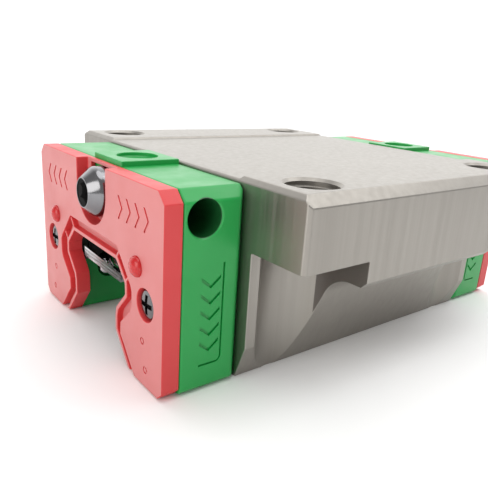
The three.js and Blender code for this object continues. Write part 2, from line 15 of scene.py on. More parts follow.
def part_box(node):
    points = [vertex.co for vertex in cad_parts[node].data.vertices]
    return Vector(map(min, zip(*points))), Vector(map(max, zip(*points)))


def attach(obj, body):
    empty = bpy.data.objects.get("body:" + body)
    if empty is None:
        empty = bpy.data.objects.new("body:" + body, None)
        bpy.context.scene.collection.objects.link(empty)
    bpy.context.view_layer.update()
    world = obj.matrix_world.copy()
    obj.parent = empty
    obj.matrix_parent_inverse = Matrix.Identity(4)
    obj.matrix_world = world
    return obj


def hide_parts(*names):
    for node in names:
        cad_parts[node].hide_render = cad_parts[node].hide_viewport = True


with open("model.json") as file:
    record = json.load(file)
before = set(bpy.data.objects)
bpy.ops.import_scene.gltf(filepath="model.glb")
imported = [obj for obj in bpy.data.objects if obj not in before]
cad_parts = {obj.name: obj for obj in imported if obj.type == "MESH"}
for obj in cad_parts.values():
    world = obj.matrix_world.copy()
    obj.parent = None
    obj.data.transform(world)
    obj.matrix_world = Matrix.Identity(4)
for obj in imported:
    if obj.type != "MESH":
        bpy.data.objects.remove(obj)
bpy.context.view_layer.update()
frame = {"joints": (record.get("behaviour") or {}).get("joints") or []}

MM = 0.001
ENDS = {"front": -1, "rear": 1}
SIDES = {"left": 1, "right": -1}
AS_DRAWN = Matrix.Identity(4)
END_TURNS = {"front": AS_DRAWN, "rear": Matrix.Rotation(math.pi, 4, "Z")}
SIDE_FLIPS = {"left": AS_DRAWN, "right": Matrix.Scale(-1, 4, (0, 1, 0))}


def box_mm(node):
    low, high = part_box(node)
    return low / MM, high / MM


# ---- camera, light and floor ---------------------------------------------------------------

CAMERA_PLACE = Vector((-73.57, -78.63, 43.65)) * MM
CAMERA_FORWARD = Vector((0.5952, 0.7457, -0.2994))
CAMERA_RIGHT = Vector((0.792, -0.6074, 0.0615))
CAMERA_LENS = 39.52
WORLD_DIM = 0.45
WORLD_BRIGHT = 1.75
PART_MIDDLE = (0, 0, 0.015)


def make_camera():
    data = bpy.data.cameras.new("camera")
    data.lens = CAMERA_LENS
    data.clip_start = 0.002
    data.clip_end = 20
    camera = bpy.data.objects.new("camera", data)
    bpy.context.scene.collection.objects.link(camera)
    back = -CAMERA_FORWARD.normalized()
    right = (CAMERA_RIGHT - CAMERA_RIGHT.dot(back) * back).normalized()
    turn = Matrix((right, back.cross(right), back)).transposed()
    camera.matrix_world = Matrix.Translation(CAMERA_PLACE) @ turn.to_4x4()
    bpy.context.scene.camera = camera


def area_light(name, place, target, size, watts, color=(1, 1, 1)):
    data = bpy.data.lights.new(name, "AREA")
    data.shape = "DISK"
    data.size = size
    data.energy = watts
    data.color = color
    light = bpy.data.objects.new(name, data)
    light.location = place
    light.rotation_mode = "QUATERNION"
    light.rotation_quaternion = (Vector(target) - Vector(place)).to_track_quat("-Z", "Y")
    bpy.context.scene.collection.objects.link(light)


def make_studio():
    """A white studio that is brightest behind the part, seen from the camera."""
    world = bpy.data.worlds.new("studio")
    bpy.context.scene.world = world
    world.use_nodes = True
    nodes = world.node_tree.nodes
    links = world.node_tree.links
    direction = nodes.new("ShaderNodeTexCoord")
    toward_back = nodes.new("ShaderNodeVectorMath")
    toward_back.operation = "DOT_PRODUCT"
    toward_back.inputs[1].default_value = Vector((CAMERA_FORWARD.x, CAMERA_FORWARD.y, 0)).normalized()
    links.new(direction.outputs["Generated"], toward_back.inputs[0])
    brightness = nodes.new("ShaderNodeMapRange")
    brightness.interpolation_type = "SMOOTHSTEP"
    ramp = {"From Min": 0.1, "From Max": 0.75, "To Min": WORLD_DIM, "To Max": WORLD_BRIGHT}
    for name, value in ramp.items():
        brightness.inputs[name].default_value = value
    links.new(toward_back.outputs["Value"], brightness.inputs["Value"])
    links.new(brightness.outputs["Result"], nodes["Background"].inputs["Strength"])
    nodes["Background"].inputs["Color"].default_value = (1, 1, 1, 1)
    sun = bpy.data.lights.new("top_light", "SUN")
    sun.energy = 1.15
    sun.angle = math.radians(50)
    top_light = bpy.data.objects.new("top_light", sun)
    bpy.context.scene.collection.objects.link(top_light)
    area_light("front_light", (-0.5, -0.12, 0.22), PART_MIDDLE, 0.45, 1.4, (1, 0.98, 0.95))
    area_light("edge_light", (0.29, -0.15, 0.44), PART_MIDDLE, 0.35, 0.7)
    bpy.context.scene.view_settings.view_transform = "Standard"


def make_floor():
    half = 3.0
    mesh = bpy.data.meshes.new("floor")
    corners = [(-half, -half, 0), (half, -half, 0), (half, half, 0), (-half, half, 0)]
    mesh.from_pydata(corners, [], [(0, 1, 2, 3)])
    floor = bpy.data.objects.new("floor", mesh)
    bpy.context.scene.collection.objects.link(floor)
    material = bpy.data.materials.new("floor_paper")
    material.use_nodes = True
    shader = material.node_tree.nodes["Principled BSDF"]
    shader.inputs["Base Color"].default_value = (0.93, 0.93, 0.93, 1)
    shader.inputs["Roughness"].default_value = 0.9
    mesh.materials.append(material)


# ---- mesh tools ----------------------------------------------------------------------------


def new_object(name, bm):
    bmesh.ops.recalc_face_normals(bm, faces=bm.faces)
    mesh = bpy.data.meshes.new(name)
    bm.to_mesh(mesh)
    bm.free()
    made = bpy.data.objects.new(name, mesh)
    bpy.context.scene.collection.objects.link(made)
    return made


def drop(*objects):
    for old in objects:
        bpy.data.objects.remove(old)


def prism(points, offset):
    """A closed solid from a loop of 3-D points pushed along an offset."""
    bm = bmesh.new()
    low = [bm.verts.new(p) for p in points]
    high = [bm.verts.new(Vector(p) + Vector(offset)) for p in points]
    bm.faces.new(low)
    bm.faces.new(high)
    for i in range(len(points)):
        j = (i + 1) % len(points)
        bm.faces.new((low[i], low[j], high[j], high[i]))
    return new_object("solid", bm)


def along_x(outline, x0, x1):
    return prism([(x0, y, z) for y, z in outline], (x1 - x0, 0, 0))


def along_y(outline, y0, y1):
    return prism([(x, y0, z) for x, z in outline], (0, y1 - y0, 0))


def along_z(outline, z0, z1):
    return prism([(x, y, z0) for x, y in outline], (0, 0, z1 - z0))


def brick(low, high):
    (x0, y0, z0), (x1, y1, z1) = low, high
    return along_z([(x0, y0), (x1, y0), (x1, y1), (x0, y1)], z0, z1)


def span(a, b):
    return min(a, b), max(a, b)


def arc(cx, cy, radius, start, end, steps):
    """Points of an arc, angles in degrees, both ends included."""
    angles = [math.radians(start + (end - start) * i / steps) for i in range(steps + 1)]
    return [(cx + radius * math.cos(a), cy + radius * math.sin(a)) for a in angles]


def turned(profile, axis, place, steps):
    """A solid turned about an axis: the profile lists (distance along it, radius)."""
    bm = bmesh.new()
    rings = []
    for along, radius in profile:
        if radius == 0:
            rings.append([bm.verts.new((0, 0, along))])
            continue
        turns = [2 * math.pi * i / steps for i in range(steps)]
        rings.append([bm.verts.new((radius * math.cos(t), radius * math.sin(t), along)) for t in turns])
    for low, high in zip(rings, rings[1:]):
        for i in range(steps):
            j = (i + 1) % steps
            loop = [low[i % len(low)], low[j % len(low)], high[j % len(high)], high[i % len(high)]]
            corners = list(dict.fromkeys(loop))
            bm.faces.new(corners)
    for ring in (rings[0], rings[-1]):
        if len(ring) > 1:
            bm.faces.new(ring)
    made = new_object("turned", bm)
    turn = Vector((0, 0, 1)).rotation_difference(Vector(axis)).to_matrix().to_4x4()
    made.data.transform(Matrix.Translation(Vector(place)) @ turn)
    return made


def rod(radius, start, end, axis, place, steps):
    return turned([(start, radius), (end, radius)], axis, place, steps)


def applied(obj):
    graph = bpy.context.evaluated_depsgraph_get()
    mesh = bpy.data.meshes.new_from_object(obj.evaluated_get(graph))
    obj.modifiers.clear()
    obj.data = mesh
    return obj


def combine(obj, operation, tools):
    for tool in tools:
        modifier = obj.modifiers.new("combine", "BOOLEAN")
        modifier.operation = operation
        modifier.solver = "MANIFOLD"
        modifier.object = tool
    applied(obj)
    drop(*tools)
    return obj


def cut(obj, *tools):
    return combine(obj, "DIFFERENCE", tools)


def join(obj, *tools):
    return combine(obj, "UNION", tools)


def soften(obj, width, segments, angle=30):
    bevel = obj.modifiers.new("bevel", "BEVEL")
    bevel.width = width
    bevel.segments = segments
    bevel.limit_method = "ANGLE"
    bevel.angle_limit = math.radians(angle)
    bevel.use_clamp_overlap = False
    bevel.miter_outer = "MITER_ARC"
    return applied(obj)


def both_halves(half):
    """A (y, z) outline that is the same on both sides of y = 0."""
    other = [(-y, z) for y, z in reversed(half) if y > 0]
    return half + other


def merged(objects):
    bm = bmesh.new()
    for obj in objects:
        bm.from_mesh(obj.data)
    made = new_object("merged", bm)
    drop(*objects)
    return made


def finish_piece(obj, name, body, material, nodes, smooth=30):
    """Turns a piece into metres, shades it and hands it to the frame."""
    obj.data.transform(Matrix.Scale(MM, 4))
    obj.name = name
    obj.data.name = name
    for face in obj.data.polygons:
        face.use_smooth = True
    obj.data.set_sharp_from_angle(angle=math.radians(smooth))
    weighted = obj.modifiers.new("weighted_normal", "WEIGHTED_NORMAL")
    weighted.keep_sharp = True
    weighted.weight = 100
    obj.data.materials.clear()
    obj.data.materials.append(material)
    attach(obj, body)
    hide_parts(*nodes)


def copied(obj, transform):
    twin = obj.copy()
    twin.data = obj.data.copy()
    twin.data.transform(transform)
    if transform.determinant() < 0:
        twin.data.flip_normals()
    bpy.context.scene.collection.objects.link(twin)
    return twin


# ---- sizes that the pieces share, in millimetres -------------------------------------------

BLOCK_HIGH = box_mm("block")[1]
CAP_LOW, CAP_HIGH = box_mm("end_cap_front")
SEAL_LOW, SEAL_HIGH = box_mm("end_seal_front")
PLUG_LOW, PLUG_HIGH = box_mm("grease_plug_front")
SCREW_LOW, SCREW_HIGH = box_mm("seal_screw_front_left")
PAST = 1.0  # how far a cutting solid runs past a face

PLUG_Z = (PLUG_LOW.z + PLUG_HIGH.z) / 2
SCREW_Y = (SCREW_LOW.y + SCREW_HIGH.y) / 2
SCREW_Z = (SCREW_LOW.z + SCREW_HIGH.z) / 2
SCREW_CLEARANCE = 1.5
GUIDE_REACH_Y, GUIDE_REACH_Z = 16.4, 20.2
PLUG_HOLE_RADIUS, PLUG_HOLE_FLOOR = 3.2, -32.5
LAND_Y = 12.75
STRIP_SLOT = {"front": -32.0, "back": -28.0, "bottom": 11.6, "top": 14.0}
SOCKET_RADIUS = 2.2
PORT_X, PORT_Z, PORT_RADIUS = -35.7, 25.7, 2.65
SEAT_Z = 20.3
BOSS_HEIGHT = 0.8
CAP_TOP = CAP_HIGH.z - BOSS_HEIGHT
CAP_CORNER = 1.6
FOOT_CORNER = 0.6

LOAD_LINES = {}
RETURN_LINES = {}
for level in ("upper", "lower"):
    for lines, kind in ((LOAD_LINES, "load"), (RETURN_LINES, "return")):
        row_low, row_high = box_mm(f"{kind}_row_{level}_left")
        centre = (row_low + row_high) / 2
        lines[level] = (centre.y, centre.z)

BALL_RADIUS = 2.381
RACEWAY_RADIUS = 2.5
BORE_RADIUS = 2.65
TURN_TUBE_RADIUS = 2.62
TURN_X = 29.3


# ---- materials -----------------------------------------------------------------------------


class Finish:
    """A node material with short names for the nodes that the finishes share."""

    def __init__(self, name):
        self.material = bpy.data.materials.new(name)
        self.material.use_nodes = True
        self.tree = self.material.node_tree
        self.shader = self.tree.nodes["Principled BSDF"]
        self.place = self.node("ShaderNodeTexCoord").outputs["Object"]

    def node(self, kind, **settings):
        made = self.tree.nodes.new(kind)
        for key, value in settings.items():
            setattr(made, key, value)
        return made

    def link(self, source, target):
        self.tree.links.new(source, target)

    def stretched(self, scale):
        mapping = self.node("ShaderNodeMapping")
        mapping.inputs["Scale"].default_value = scale
        self.link(self.place, mapping.inputs["Vector"])
        return mapping.outputs["Vector"]

    def noise(self, scale, detail=3, roughness=0.55, vector=None):
        made = self.node("ShaderNodeTexNoise")
        made.inputs["Scale"].default_value = scale
        made.inputs["Detail"].default_value = detail
        made.inputs["Roughness"].default_value = roughness
        self.link(vector or self.place, made.inputs["Vector"])
        return made.outputs["Fac"]

    def ranged(self, value, low, high, start=0.3, end=0.7):
        made = self.node("ShaderNodeMapRange")
        self.link(value, made.inputs["Value"])
        for name, number in (("From Min", start), ("From Max", end), ("To Min", low), ("To Max", high)):
            made.inputs[name].default_value = number
        return made.outputs["Result"]

    def blended(self, factor, first, second):
        made = self.node("ShaderNodeMix", data_type="RGBA")
        self.link(factor, made.inputs["Factor"])
        for socket, value in ((made.inputs[6], first), (made.inputs[7], second)):
            if isinstance(value, tuple):
                socket.default_value = (*value, 1)
            else:
                self.link(value, socket)
        return made.outputs[2]

    def bump(self, height, distance, strength):
        made = self.node("ShaderNodeBump")
        made.inputs["Strength"].default_value = strength
        made.inputs["Distance"].default_value = distance
        self.link(height, made.inputs["Height"])
        return made.outputs["Normal"]

    def parts(self, vector):
        made = self.node("ShaderNodeSeparateXYZ")
        self.link(vector, made.inputs["Vector"])
        return made.outputs

    def worked(self, operation, first, second=None):
        made = self.node("ShaderNodeMath", operation=operation)
        for socket, value in zip(made.inputs, (first, second)):
            if isinstance(value, float):
                socket.default_value = value
            elif value is not None:
                self.link(value, socket)
        return made.outputs["Value"]

    def product(self, first, *others):
        for other in others:
            first = self.worked("MULTIPLY", first, other)
        return first

    def round_area(self, u, v, centre, radius):
        """1 where (|u|, v) lies within a radius of a centre, both in millimetres."""
        across = self.worked("SUBTRACT", self.worked("ABSOLUTE", u), centre[0] * MM)
        height = self.worked("SUBTRACT", v, centre[1] * MM)
        squares = self.worked("ADD", self.worked("POWER", across, 2.0), self.worked("POWER", height, 2.0))
        return self.worked("LESS_THAN", squares, (radius * MM) ** 2)

    def within(self, value, limit):
        """1 where the size of a value is under a limit in millimetres."""
        return self.worked("LESS_THAN", self.worked("ABSOLUTE", value), limit * MM)

    def grained(self, roughness):
        """The fine, slightly uneven skin of a moulded part."""
        self.feed(Roughness=self.ranged(self.noise(250), roughness - 0.05, roughness + 0.07))
        self.feed(Normal=self.bump(self.noise(900, detail=4), 0.00002, 0.35))

    def feed(self, **sources):
        for name, source in sources.items():
            self.link(source, self.shader.inputs[name.replace("_", " ")])


def moulded_plastic(name, color, deep_color, roughness):
    finish = Finish(name)
    cloud = finish.ranged(finish.noise(60), 0.0, 1.0)
    finish.feed(Base_Color=finish.blended(cloud, color, deep_color))
    finish.grained(roughness)
    return finish.material


def cap_plastic(name, color, deep_color, roughness):
    """Moulded plastic with painted shade inside the side ports and round the return guides."""
    finish = Finish(name)
    cloud = finish.ranged(finish.noise(60), 0.0, 1.0)
    tone = finish.blended(cloud, color, deep_color)
    place = finish.parts(finish.place)
    port_centre = (-PORT_X, PORT_Z)
    in_port = finish.round_area(place["X"], place["Z"], port_centre, PORT_RADIUS + 0.1)
    below_wall = finish.within(place["Y"], CAP_HIGH.y - PORT_EDGE)
    # Painted shade: the inside of each side port is coloured much darker than the cap, for the shade deep in
    # the hole.
    port_shade_color = tuple(PORT_SHADE_BASE + PORT_SHADE_SHARE * value for value in color)
    tone = finish.blended(finish.product(in_port, below_wall), tone, port_shade_color)
    # Painted shade: the inner walls of the cap beside the return guides, between the lower load line and the
    # top of the guides, are coloured near-black for the shade in that hollow.
    beside = finish.within(place["Y"], GUIDE_REACH_Y)
    under = finish.worked("LESS_THAN", place["Z"], GUIDE_REACH_Z * MM)
    over = finish.worked("GREATER_THAN", place["Z"], LOAD_LINES["lower"][1] * MM)
    tone = finish.blended(finish.product(beside, under, over), tone, GUIDE_HOLLOW_SHADE)
    finish.feed(Base_Color=tone)
    finish.grained(roughness)
    return finish.material


def sheen_faced_plastic(name, sheen_color, side_color, roughness):
    """Moulded plastic whose end faces are painted paler than its sides, a painted sheen for the bright light
    on them.
    """
    finish = Finish(name)
    normal = finish.parts(finish.node("ShaderNodeNewGeometry").outputs["Normal"])
    # Painted sheen: faces that look along X get the paler colour.
    sheen_mask = finish.ranged(finish.worked("ABSOLUTE", normal["X"]), 0.0, 1.0, 0.75, 0.97)
    cloud = finish.ranged(finish.noise(60), 0.0, 1.0)
    face, side = [
        finish.blended(cloud, color, tuple(DEEP_TONE * value for value in color))
        for color in (sheen_color, side_color)
    ]
    finish.feed(Base_Color=finish.blended(sheen_mask, side, face))
    finish.grained(roughness)
    return finish.material


def ground_steel(name, color, dark_color, seat_shade_color, roughness):
    """Ground steel with fine upright scratches, with painted shade on the end walls of the bolt seats."""
    finish = Finish(name)
    scratches = finish.noise(1, 5, 0.7, finish.stretched((900, 900, 4)))
    bands = finish.noise(1, 3, 0.6, finish.stretched((260, 260, 2)))
    cloud = finish.noise(28, 2)
    tone = finish.blended(finish.ranged(cloud, 0, 0.45), color, dark_color)
    streaked = finish.blended(finish.ranged(bands, 0, 0.3), tone, dark_color)
    normal = finish.parts(finish.node("ShaderNodeNewGeometry").outputs["Normal"])
    place = finish.parts(finish.place)
    # Painted shade: the low end walls of the bolt seats get a dark, less metallic colour, for the shade under
    # the flange and to hide the reflection of the cap.
    endwise = finish.worked("GREATER_THAN", finish.worked("ABSOLUTE", normal["X"]), 0.9)
    low = finish.worked("LESS_THAN", place["Z"], SEAT_Z * MM)
    wall = finish.product(endwise, low, finish.within(place["X"], SEAT_WALL_REACH))
    finish.feed(Base_Color=finish.blended(wall, streaked, seat_shade_color))
    finish.feed(Metallic=finish.worked("SUBTRACT", 1.0, finish.product(wall, 0.8)))
    finish.feed(Roughness=finish.ranged(scratches, roughness - 0.05, roughness + 0.1))
    finish.feed(Normal=finish.bump(scratches, 0.00001, 0.4))
    return finish.material


def cloudy_steel(finish, color, grain):
    """Feeds a slight bump to bright steel and returns the tone that follows the same noise."""
    cloud = finish.noise(grain, 3)
    dark = tuple(0.8 * value for value in color)
    finish.feed(Normal=finish.bump(cloud, 0.000006, 0.3))
    return finish.blended(finish.ranged(cloud, 0, 0.5), color, dark)


def bright_steel(name, color, roughness, grain=400):
    finish = Finish(name)
    finish.shader.inputs["Metallic"].default_value = 1.0
    finish.feed(Base_Color=cloudy_steel(finish, color, grain))
    finish.feed(Roughness=finish.ranged(finish.noise(grain * 2), roughness - 0.03, roughness + 0.06))
    return finish.material


def drilled_steel(name, color, roughness, centre, hole_radius, hole_front):
    """Bright steel with black painted shade in a recess round `centre`, (y, z), up to |x| = `hole_front`."""
    finish = Finish(name)
    place = finish.parts(finish.place)
    # Painted shade: the socket of the plug and the cross of the screws are coloured black and matt, for the
    # shade deep in them.
    inside = finish.round_area(place["Y"], place["Z"], centre, hole_radius)
    recess = finish.product(inside, finish.within(place["X"], hole_front))
    finish.feed(Base_Color=finish.blended(recess, cloudy_steel(finish, color, 400), RECESS_SHADE))
    finish.feed(Metallic=finish.worked("SUBTRACT", 1.0, recess))
    finish.feed(Roughness=finish.worked("ADD", finish.product(recess, 0.5), roughness))
    return finish.material


DEEP_TONE = 0.93  # how dark the cloudier spots of the seal are beside the rest
SEAT_WALL_REACH = 20.0  # the end walls of the seats are the only low end faces this near the middle
PORT_EDGE = 0.2  # the outermost rim of a port keeps the color of the cap
# The two numbers below set the painted shade inside the side ports: a small share of the cap colour plus a
# little grey.
PORT_SHADE_BASE, PORT_SHADE_SHARE = 0.007, 0.25
# Near-black painted shade on the cap round the return guides.
GUIDE_HOLLOW_SHADE = (0.006, 0.012, 0.007)
RECESS_SHADE = (0.006, 0.006, 0.006)
# CROSS_RADIUS and PAST_PLUG bound the painted shade in the screw heads and in the plug socket.
CROSS_RADIUS = 1.7
PAST_PLUG = 50.0  # the whole socket of the plug is dark, up to its front

# The third steel tone is the painted shade on the end walls of the bolt seats.
STEEL_TONES = (0.365, 0.345, 0.315), (0.295, 0.275, 0.25), (0.10, 0.085, 0.075)
BLOCK_STEEL = ground_steel("block_steel", *STEEL_TONES, 0.42)
RETAINER_STEEL = bright_steel("retainer_steel", (0.78, 0.79, 0.80), 0.28)
BALL_STEEL = bright_steel("ball_steel", (0.80, 0.80, 0.82), 0.06, 200)
CAP_GREEN = cap_plastic("cap_green", (0.011, 0.345, 0.066), (0.008, 0.31, 0.056), 0.36)
# The first colour of the seal is the paler painted sheen of its end faces, the second the colour of its
# sides.
SEAL_RED = sheen_faced_plastic("seal_red", (0.60, 0.185, 0.182), (0.66, 0.045, 0.048), 0.42)
BUTTON_RED = moulded_plastic("button_red", (0.52, 0.012, 0.014), (0.46, 0.01, 0.012), 0.2)
# The return guides are coloured near-black as painted shade for the dark hollow of the ball turn behind the
# seal.
GUIDE_SHADE_BLACK = moulded_plastic("guide_shade_black", (0.012, 0.012, 0.013), (0.02, 0.02, 0.02), 0.45)
SEAL_RUBBER = moulded_plastic("seal_rubber", (0.02, 0.02, 0.021), (0.03, 0.03, 0.03), 0.7)
PLUG_STEEL = drilled_steel(
    "plug_steel", (0.24, 0.24, 0.25), 0.16, (0, PLUG_Z), SOCKET_RADIUS + 0.02, PAST_PLUG
)
SCREW_STEEL = drilled_steel(
    "screw_steel", (0.17, 0.17, 0.175), 0.16, (SCREW_Y, SCREW_Z), CROSS_RADIUS, -SCREW_LOW.x - 0.4
)

# ---- block ---------------------------------------------------------------------------------

BOLT_X, BOLT_Y = 22.5, 28.5
BOLT_CORE_RADIUS = 3.4
BOLT_THREAD_RADIUS = 4.0
THREAD_PITCH = 1.25
COUNTERSINK_RADIUS = 4.25
COUNTERSINK_DEPTH = 0.45
SEAT_WALL_Y = 24.6
SEAT_RADIUS = 6.1
TOP_RECESS = 0.4
PAD_Y = 20.6


def block_outline():
    half_width = BLOCK_HIGH.y
    top = BLOCK_HIGH.z
    foot, slope, fillet = 22.5, 0.382, 5.0
    underside, edge_bevel, chamfer = 16.05, 1.0, 1.5
    lean = math.degrees(math.atan(slope))
    fillet_z = underside - fillet
    fillet_y = foot + slope * fillet_z + fillet / math.cos(math.radians(lean))
    return both_halves([
        (0, top - TOP_RECESS),
        (PAD_Y, top - TOP_RECESS),
        (PAD_Y + 0.25, top),
        (half_width - chamfer, top),
        (half_width, top - chamfer),
        (half_width, underside + edge_bevel),
        (half_width - edge_bevel, underside),
        *arc(fillet_y, fillet_z, fillet, 90, 180 - lean, 20),
        (foot, 0),
        (0, 0),
    ])


def channel_outline():
    """The rail channel with its four raceways and the steps for the bottom seals."""
    upper_y, upper_z = LOAD_LINES["upper"]
    lower_y, lower_z = LOAD_LINES["lower"]
    leg_y, ceiling = 9.4, 18.3
    seal_inner, seal_outer, seal_height = 12.9, 16.1, 0.8
    return both_halves([
        (0, -PAST),
        (seal_outer, -PAST),
        (seal_outer, seal_height),
        (seal_inner, seal_height),
        (leg_y, 4.6),
        (leg_y, 7.3),
        *arc(lower_y, lower_z, RACEWAY_RADIUS, -120, 30, 24),
        (LAND_Y, 11.2),
        (LAND_Y, 14.4),
        *arc(upper_y, upper_z, RACEWAY_RADIUS, -30, 113, 24),
        (9.6, ceiling),
        (0, ceiling),
    ])


def seat_outline():
    """Plan of the bolt seat in the corner at +X +Y, open to the two outer faces."""
    wall_angle = math.degrees(math.asin((SEAT_WALL_Y - BOLT_Y) / SEAT_RADIUS))
    end_x, end_y = BLOCK_HIGH.x + PAST, BLOCK_HIGH.y + PAST
    return [
        (end_x, SEAT_WALL_Y),
        *arc(BOLT_X, BOLT_Y, SEAT_RADIUS, wall_angle, -180, 40),
        (BOLT_X - SEAT_RADIUS, end_y),
        (end_x, end_y),
    ]


def bolt_thread(x, y):
    """What a tapped and lightly countersunk hole takes away."""
    top = BLOCK_HIGH.z
    profile = [(top + PAST, COUNTERSINK_RADIUS + 0.2), (top + 0.2, COUNTERSINK_RADIUS + 0.2)]
    z = top - COUNTERSINK_DEPTH
    profile.append((z, BOLT_THREAD_RADIUS - 0.15))
    while z - THREAD_PITCH > SEAT_Z:
        profile.append((z - 0.05, BOLT_THREAD_RADIUS))
        profile.append((z - 0.4 * THREAD_PITCH, BOLT_THREAD_RADIUS))
        profile.append((z - 0.6 * THREAD_PITCH, BOLT_CORE_RADIUS))
        profile.append((z - 0.85 * THREAD_PITCH, BOLT_CORE_RADIUS))
        z -= THREAD_PITCH
    profile.append((SEAT_Z - PAST, BOLT_THREAD_RADIUS))
    return turned(profile[::-1], (0, 0, 1), (x, y, 0), 64)


def make_block():
    half_length = BLOCK_HIGH.x
    half_width = BLOCK_HIGH.y
    top = BLOCK_HIGH.z
    end_chamfer, corner_chamfer = 0.7, 0.5
    block = along_x(block_outline(), -half_length, half_length)
    for end in ENDS.values():
        reach = half_width + PAST
        wedge = [
            (end * (half_length + PAST), top - end_chamfer - PAST),
            (end * (half_length + PAST), top + PAST),
            (end * (half_length - end_chamfer - PAST), top + PAST),
        ]
        cut(block, along_y(wedge, -reach, reach))
        for side in SIDES.values():
            cut(block, along_z([(end * x, side * y) for x, y in seat_outline()], -PAST, SEAT_Z))
            corner = [
                (end * (half_length + PAST), side * (half_width - corner_chamfer - PAST)),
                (end * (half_length + PAST), side * (half_width + PAST)),
                (end * (half_length - corner_chamfer - PAST), side * (half_width + PAST)),
            ]
            cut(block, along_z(corner, SEAT_Z - PAST, top + PAST))
    soften(block, 0.16, 3, 20)
    cut(block, brick((-half_length, -half_width, -PAST), (half_length, half_width, 0)))
    cut(block, along_x(channel_outline(), -half_length - PAST, half_length + PAST))
    bores = []
    reach = half_length + PAST
    screw_hole_start = 20
    for side in SIDES.values():
        for y, z in RETURN_LINES.values():
            bores.append(rod(BORE_RADIUS, -reach, reach, (1, 0, 0), (0, side * y, z), 32))
        for end in ENDS.values():
            bores.append(bolt_thread(end * BOLT_X, side * BOLT_Y))
            x0, x1 = span(end * screw_hole_start, end * reach)
            bores.append(rod(SCREW_CLEARANCE, x0, x1, (1, 0, 0), (0, side * SCREW_Y, SCREW_Z), 24))
    cut(block, merged(bores))
    finish_piece(block, "block_body", "carriage", BLOCK_STEEL, ("block",), 15)


# ---- end pieces, drawn for the front end ---------------------------------------------------


def end_outline(channel, foot=FOOT_CORNER):
    half_width = CAP_HIGH.y
    bottom = CAP_LOW.z
    return [
        (half_width - CAP_CORNER, CAP_TOP),
        (half_width, CAP_TOP - CAP_CORNER),
        (half_width, bottom + foot),
        (half_width - foot, bottom),
        *channel,
    ]


def turn_tube(level, side):
    """The ring-shaped space that the balls turn round in."""
    load_y, load_z = LOAD_LINES[level]
    return_y, return_z = RETURN_LINES[level]
    across = Vector((0, side * (return_y - load_y), return_z - load_z))
    radius = across.length / 2
    centre = Vector((-TURN_X, side * (load_y + return_y) / 2, (load_z + return_z) / 2))
    bm = bmesh.new()
    rings = []
    steps, sides = 48, 20
    across.normalize()
    axis = Vector((1, 0, 0)).cross(across)
    for i in range(steps):
        turn = 2 * math.pi * i / steps
        outward = Vector((1, 0, 0)) * math.cos(turn) + across * math.sin(turn)
        middle = centre + outward * radius
        ring = []
        for j in range(sides):
            tilt = 2 * math.pi * j / sides
            offset = outward * math.cos(tilt) + axis * math.sin(tilt)
            ring.append(bm.verts.new(middle + offset * TURN_TUBE_RADIUS))
        rings.append(ring)
    for i in range(steps):
        low, high = rings[i], rings[(i + 1) % steps]
        for j in range(sides):
            k = (j + 1) % sides
            bm.faces.new((low[j], low[k], high[k], high[j]))
    return new_object("tube", bm)


def guide_outline(grow):
    """The (x, z) outline of a return guide, or of its pocket where `grow` is not 0."""
    gap = 0.2
    back = -BLOCK_HIGH.x - gap + grow
    front = -37.4 - grow
    return [
        (back, 3.6 - grow),
        (-31.2, 4.2 - grow),
        (front, 10.4 - grow),
        (front, 19.6 + grow),
        (back, 21.4 + grow),
    ]


def chevron(points, depth_from, depth_to):
    """An arrow-head groove in the plane that `points` maps (u, v) into."""
    width, tail, tip = 0.42, -0.7, 0.3
    outer = [(tail, -1.0), (tip, 0.0), (tail, 1.0)]
    outline = outer + [(u + width, v) for u, v in reversed(outer)]
    low = [points(u, v, depth_from) for u, v in outline]
    high = [points(u, v, depth_to) for u, v in outline]
    return prism(low, Vector(high[0]) - Vector(low[0]))


PORT_FLOOR_Y = 8.0
DIMPLE_X, DIMPLE_RADIUS, DIMPLE_DEPTH = -33.9, 3.3, 0.75
BOSS_HALF_WIDTH = 5.1
CHANNEL_HALF_WIDTH, CHANNEL_CEILING = 12.2, 18.0
GUIDE_POCKET_Y, GUIDE_CLEARANCE = 16.2, 0.3


